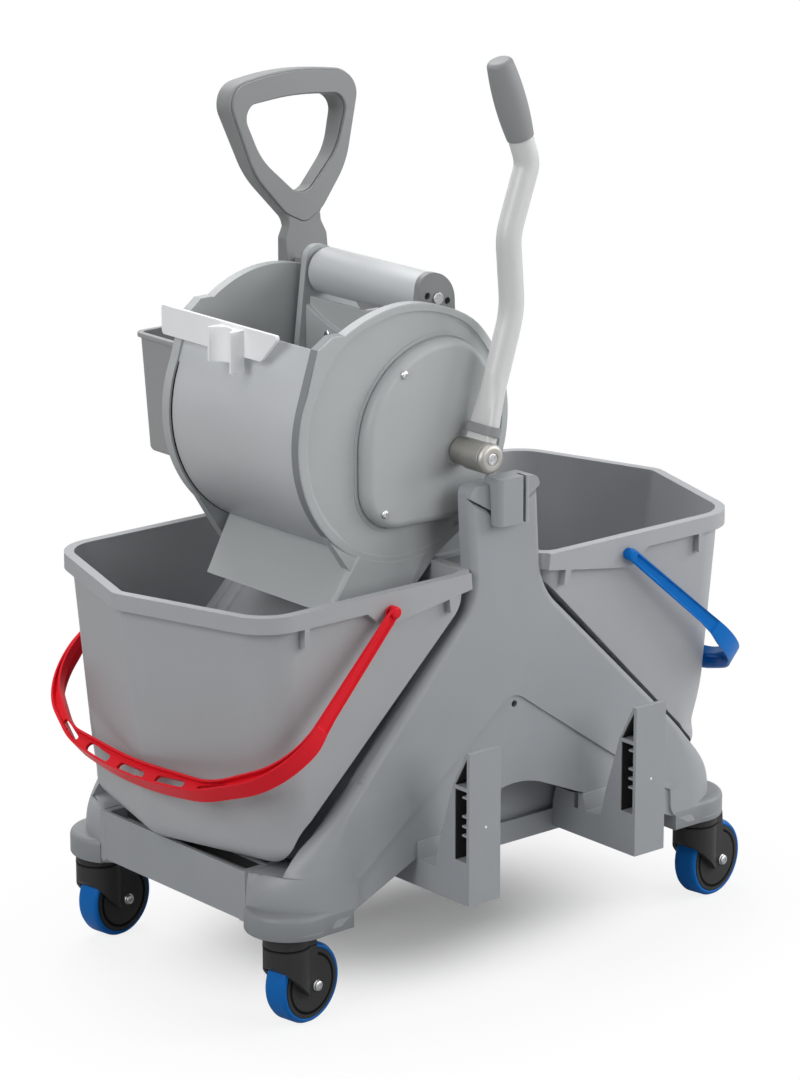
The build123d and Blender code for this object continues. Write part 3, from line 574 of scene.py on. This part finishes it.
rim = {  # the near plate's edge is darker than its face, as painted shade: round the disc, then along the lug (point and way out)
    "radius": 130, "from": 318, "to": 162.4, "steps": 52, "y": (-94.9, -104.9), "out": 0.15, "in": -0.8, "sharp": 30,
    "lug": ((-189, 640, -0.80, 0.56), (-172, 653, -0.35, 0.98), (-158, 653, 0.0, 1.0))}
middleX, middleZ = seam["centre"][0], seam["centre"][2]
edge = []
for k in range(rim["steps"] + 1):
    angle = math.radians(rim["from"] + (rim["to"] - rim["from"]) * k / rim["steps"])
    dx, dz = math.cos(angle), math.sin(angle)
    edge.append((middleX + rim["radius"] * dx, middleZ + rim["radius"] * dz, dx, dz))
edge += [(x, z - lowered(z), dx, dz) for x, z, dx, dz in rim["lug"]]
rings = [[(x + dx * d, y, z + dz * d) for d, y in band(rim["out"], rim["in"], *rim["y"])] for x, z, dx, dz in edge]
place(closedMesh("rim", rings, rim["sharp"]), "near_plate_rim", "base", "wringer_plastic", finish["rim"])

# black rings of painted shadow in the wheels' grooves and round the swivels' hoods
wheelRing = {"radius": (27.9, 30.6), "height": (12.0, 13.12), "heading": math.radians(9)}
hoodRing = {"radius": (21.3, 22.7), "height": (82.2, 83.4), "stem": (268, 150.6)}
rollAxis = Vector((-math.sin(wheelRing["heading"]), math.cos(wheelRing["heading"]), 0))
hub = {}
for corner, (sideX, sideY) in corners.items():
    low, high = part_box(f"{corner}_wheel")
    hub[corner] = (Vector(low) + Vector(high)) / 2 / mm
    work = bmesh.new()
    for side in (-1, 1):
        profile = [(r, side * h) for r, h in band(*wheelRing["radius"], *wheelRing["height"])]
        work.from_mesh(turned("ring", profile, hub[corner], rollAxis))
    mesh = bpy.data.meshes.new("wheelRing")
    work.to_mesh(mesh)
    work.free()
    place(mesh, f"{corner}_wheel_ring", f"{corner}_roll", "", finish["gap"])
    stemX, stemY = hoodRing["stem"]
    profile = band(*hoodRing["radius"], *hoodRing["height"])
    mesh = turned("hoodRing", profile, (sideX * stemX, sideY * stemY, 0), (0, 0, 1))
    place(mesh, f"{corner}_hood_ring", f"{corner}_swivel", "", finish["gap"])
print("rings placed")


# fasteners: heads made by Geometry Nodes on points that carry their facing

def headTree(name, steps, slots, material):
    tree = bpy.data.node_groups.new(name, "GeometryNodeTree")
    tree.interface.new_socket("Points", in_out="INPUT", socket_type="NodeSocketGeometry")
    for label in ("Radius", "Height", "Slot width", "Slot length", "Slot depth"):
        tree.interface.new_socket(label, in_out="INPUT", socket_type="NodeSocketFloat")
    tree.interface.new_socket("Mesh", in_out="OUTPUT", socket_type="NodeSocketGeometry")
    given = addNode(tree, "NodeGroupInput").outputs
    shank = addNode(tree, "GeometryNodeMeshCylinder", {"Vertices": 28},
                    {"Radius": given["Radius"], "Depth": given["Height"]}, fill_type="NGON")
    shape, top = shank.outputs["Mesh"], shank.outputs["Top"]
    for rise, scale in steps:  # each step lifts the top face by a share of the height and narrows it
        lift = addNode(tree, "ShaderNodeMath", {1: rise}, {0: given["Height"]}, operation="MULTIPLY")
        up = addNode(tree, "GeometryNodeExtrudeMesh", {"Individual": False},
                     {"Mesh": shape, "Selection": top, "Offset Scale": lift.outputs[0]}, mode="FACES")
        narrow = addNode(tree, "GeometryNodeScaleElements", {"Scale": scale},
                         {"Geometry": up.outputs["Mesh"], "Selection": up.outputs["Top"]})
        shape, top = narrow.outputs["Geometry"], up.outputs["Top"]
    if slots:
        size = addNode(tree, "ShaderNodeCombineXYZ", None,
                       {"X": given["Slot length"], "Y": given["Slot width"], "Z": given["Slot depth"]})
        bar = addNode(tree, "GeometryNodeMeshCube", None, {"Size": size.outputs["Vector"]})
        cut = addNode(tree, "GeometryNodeMeshBoolean", None, {"Mesh 1": shape}, operation="DIFFERENCE")
        high = addNode(tree, "ShaderNodeMath", {1: 0.5 + sum(rise for rise, scale in steps)}, {0: given["Height"]},
                       operation="MULTIPLY")
        spot = addNode(tree, "ShaderNodeCombineXYZ", None, {"Z": high.outputs[0]})
        for angle in slots:
            turn = addNode(tree, "GeometryNodeTransform", {"Rotation": (0, 0, math.radians(angle))},
                           {"Geometry": bar.outputs["Mesh"], "Translation": spot.outputs["Vector"]})
            tree.links.new(turn.outputs["Geometry"], cut.inputs["Mesh 2"])
        shape = cut.outputs["Mesh"]
    facing = addNode(tree, "GeometryNodeInputNamedAttribute", {"Name": "facing"}, data_type="FLOAT_VECTOR")
    aim = addNode(tree, "FunctionNodeAlignRotationToVector", None, {"Vector": facing.outputs["Attribute"]}, axis="Z")
    put = addNode(tree, "GeometryNodeInstanceOnPoints", None,
                  {"Points": given["Points"], "Instance": shape, "Rotation": aim.outputs["Rotation"]})
    real = addNode(tree, "GeometryNodeRealizeInstances", None, {"Geometry": put.outputs["Instances"]})
    coat = addNode(tree, "GeometryNodeSetMaterial", {"Material": material}, {"Geometry": real.outputs["Geometry"]})
    addNode(tree, "NodeGroupOutput", None, {"Mesh": coat.outputs["Geometry"]})
    return tree


def heads(name, body, tree, sizes, points):
    # points: place and facing (mm); sizes: the tree's inputs in mm
    mesh = bpy.data.meshes.new(name)
    mesh.from_pydata([tuple(Vector(spot) * mm) for spot, facing in points], [], [])
    facings = mesh.attributes.new("facing", "FLOAT_VECTOR", "POINT")
    for i, (spot, facing) in enumerate(points):
        facings.data[i].vector = Vector(facing).normalized()
    carrier = bpy.data.objects.new(name + "Points", mesh)
    bpy.context.scene.collection.objects.link(carrier)
    maker = carrier.modifiers.new("heads", "NODES")
    maker.node_group = tree
    sockets = {item.name: item.identifier for item in tree.interface.items_tree if item.in_out == "INPUT"}
    for label, value in sizes.items():
        maker[sockets[label]] = value * mm
    made = asMesh(carrier)
    bpy.data.objects.remove(carrier)
    work = bmesh.new()
    work.from_mesh(made)
    bmesh.ops.remove_doubles(work, verts=work.verts, dist=0.01 * mm)
    for face in work.faces:
        face.smooth, face.material_index = False, 0
    work.to_mesh(made)
    work.free()
    return place(made, name, body, "", tree.nodes["Set Material"].inputs["Material"].default_value)


dome = ((0.35, 0.94), (0.4, 0.80), (0.25, 0.55))
crossHead = headTree("cross recessed screw head", dome, (0, 90), finish["steel"])
slotHead = headTree("notched rivet head", dome, (35,), finish["steel"])
boltEnd = ((0.3, 0.9), (0.02, 0.62), (-0.5, 0.94), (0.02, 0.5), (0.6, 0.9))
plainHead = headTree("turned bolt end", boltEnd, (), finish["steel"])
# small bumps on the brackets' fronts, coloured white as a painted highlight
gateHighlight = headTree("gate bump with painted highlight", ((0.5, 0.6),), (), finish["white"])
screw = {"Radius": 4.2, "Height": 1.4, "Slot width": 0.9, "Slot length": 4.8, "Slot depth": 2.4}
coverScrews = [((x, side * 119.2, z), (0, side, 0)) for side in (-1, 1) for x, z in ((-95, 604.6), (-119, 472.3))]
heads("cover_screws", "base", crossHead, screw, coverScrews)
heads("paddle_screws", "lever", crossHead, screw, [((-53.3, side * 47.9, 608), (-1, 0, 0)) for side in (-1, 1)])
rivet = {"Radius": 4.9, "Height": 1.2, "Slot width": 1.3, "Slot length": 4.6, "Slot depth": 2.2}
for corner in corners:
    ends = [(hub[corner] + rollAxis * side * 21.8, rollAxis * side) for side in (-1, 1)]
    heads(f"{corner}_rivets", f"{corner}_swivel", slotHead, rivet, ends)
heads("hub_bolt", "lever", plainHead, {"Radius": 5.6, "Height": 1.1}, [((-26.5, -167.4, 520), (0, -1, 0))])
heads("gate_highlights", "base", gateHighlight, {"Radius": 1.3, "Height": 0.4},
      [((-106.2, -252.0, 191.1), (0, -1, 0)), ((108.4, -252.0, 191.6), (0, -1, 0))])
print("fasteners placed")


# floor, light and camera

studio = {  # metres; share of its own white that the paper shows under the trolley, in an oval, and away from it
    "floor": 14.0, "bounce": 0.60, "ambient": 0.05, "oval": (0.36, 0.25), "near": (0.2, 0.85), "near share": (0.15, 0.84),
    "far": (0.9, 1.7), "far share": 0.16}


def paperFloor():
    # white seamless paper: to the camera it is lit only under the trolley, where the shadow lies,
    # and its own white away from it; other rays meet a duller paper
    material, tree = newMaterial("white paper floor")
    ray = addNode(tree, "ShaderNodeLightPath")
    spot = addNode(tree, "ShaderNodeTexCoord").outputs["Object"]
    oval = addNode(tree, "ShaderNodeMapping", {"Scale": tuple(1 / size for size in studio["oval"]) + (0,)},
                   {"Vector": spot})
    away = addNode(tree, "ShaderNodeVectorMath", None, {0: oval.outputs["Vector"]}, operation="LENGTH")
    (start, end), (least, most) = studio["near"], studio["near share"]
    under = addNode(tree, "ShaderNodeMapRange",
                    {"From Min": start, "From Max": end, "To Min": least, "To Max": most},
                    {"Value": away.outputs["Value"]}, interpolation_type="SMOOTHSTEP")
    start, end = studio["far"]
    beyond = addNode(tree, "ShaderNodeMapRange",
                     {"From Min": start, "From Max": end, "To Min": 0.0, "To Max": studio["far share"]},
                     {"Value": away.outputs["Value"]}, interpolation_type="SMOOTHSTEP")
    fade = addNode(tree, "ShaderNodeMath", None, {0: under.outputs["Result"], 1: beyond.outputs["Result"]},
                   operation="ADD")
    lit = addNode(tree, "ShaderNodeBsdfDiffuse", {"Color": (0.97, 0.97, 0.97, 1)})
    own = addNode(tree, "ShaderNodeEmission", {"Color": (1, 1, 1, 1), "Strength": 1.0})
    seen = addNode(tree, "ShaderNodeMixShader", None,
                   {0: fade.outputs[0], 1: lit.outputs[0], 2: own.outputs[0]})
    dull = addNode(tree, "ShaderNodeBsdfDiffuse", {"Color": (studio["bounce"],) * 3 + (1,)})
    mix = addNode(tree, "ShaderNodeMixShader", None,
                  {0: ray.outputs["Is Camera Ray"], 1: dull.outputs[0], 2: seen.outputs[0]})
    addNode(tree, "ShaderNodeOutputMaterial", None, {"Surface": mix.outputs[0]})
    return material


floorMesh = bpy.data.meshes.new("floor")
half = studio["floor"] / 2
floorMesh.from_pydata([(-half, -half, 0), (half, -half, 0), (half, half, 0), (-half, half, 0)], [], [(0, 1, 2, 3)])
floorMesh.materials.append(paperFloor())
floor = bpy.data.objects.new("floor", floorMesh)
bpy.context.scene.collection.objects.link(floor)

world = bpy.data.worlds.new("studio")
bpy.context.scene.world = world
world.use_nodes = True
sky = world.node_tree
sky.nodes.clear()
ray = addNode(sky, "ShaderNodeLightPath")
shown = addNode(sky, "ShaderNodeMath", None, {0: ray.outputs["Is Camera Ray"], 1: ray.outputs["Is Glossy Ray"]},
                operation="MAXIMUM")
ambient = addNode(sky, "ShaderNodeBackground", {"Color": (1, 1, 1, 1), "Strength": studio["ambient"]})
paper = addNode(sky, "ShaderNodeBackground", {"Color": (1, 1, 1, 1), "Strength": 1.0})
both = addNode(sky, "ShaderNodeMixShader", None,
               {0: shown.outputs[0], 1: ambient.outputs[0], 2: paper.outputs[0]})
addNode(sky, "ShaderNodeOutputWorld", None, {"Surface": both.outputs[0]})

lamps = {  # name: place, size (m), power (W), aim
    "overhead": ((-0.4, -0.4, 2.6), 2.0, 10, (0, 0, 0.4)),
    "front": ((0.9, -2.7, 1.5), 1.6, 30, (0, 0, 0.45)),
    "left": ((-2.7, -0.3, 1.8), 1.6, 42, (0, 0, 0.4)),
    "right": ((2.4, -1.5, 1.5), 1.6, 46, (0, 0, 0.4)),
    "behind": ((0.3, 1.2, 2.4), 1.6, 40, (0, 0, 0.4)),
}
for name, (spot, size, power, aim) in lamps.items():
    light = bpy.data.lights.new(name, "AREA")
    light.shape, light.size, light.energy = "SQUARE", size, power
    lamp = bpy.data.objects.new(name, light)
    lamp.location = spot
    lamp.rotation_mode = "QUATERNION"
    lamp.rotation_quaternion = (Vector(aim) - Vector(spot)).to_track_quat("-Z", "Y")
    bpy.context.scene.collection.objects.link(lamp)

view = {"place": (-2.5936, -3.0848, 1.5492), "azimuth": -40.05, "elevation": 15.92, "lens": 140.86}
lens = bpy.data.cameras.new("camera")
lens.lens, lens.sensor_width = view["lens"], 36.0
camera = bpy.data.objects.new("camera", lens)
turn, rise = math.radians(view["azimuth"]), math.radians(view["elevation"])
ahead = Vector((-math.sin(turn) * math.cos(rise), math.cos(turn) * math.cos(rise), -math.sin(rise)))
camera.location = view["place"]
camera.rotation_mode = "QUATERNION"
camera.rotation_quaternion = ahead.to_track_quat("-Z", "Y")
bpy.context.scene.collection.objects.link(camera)
bpy.context.scene.camera = camera
bpy.context.scene.view_settings.view_transform = "Standard"
print("floor, light and camera set")
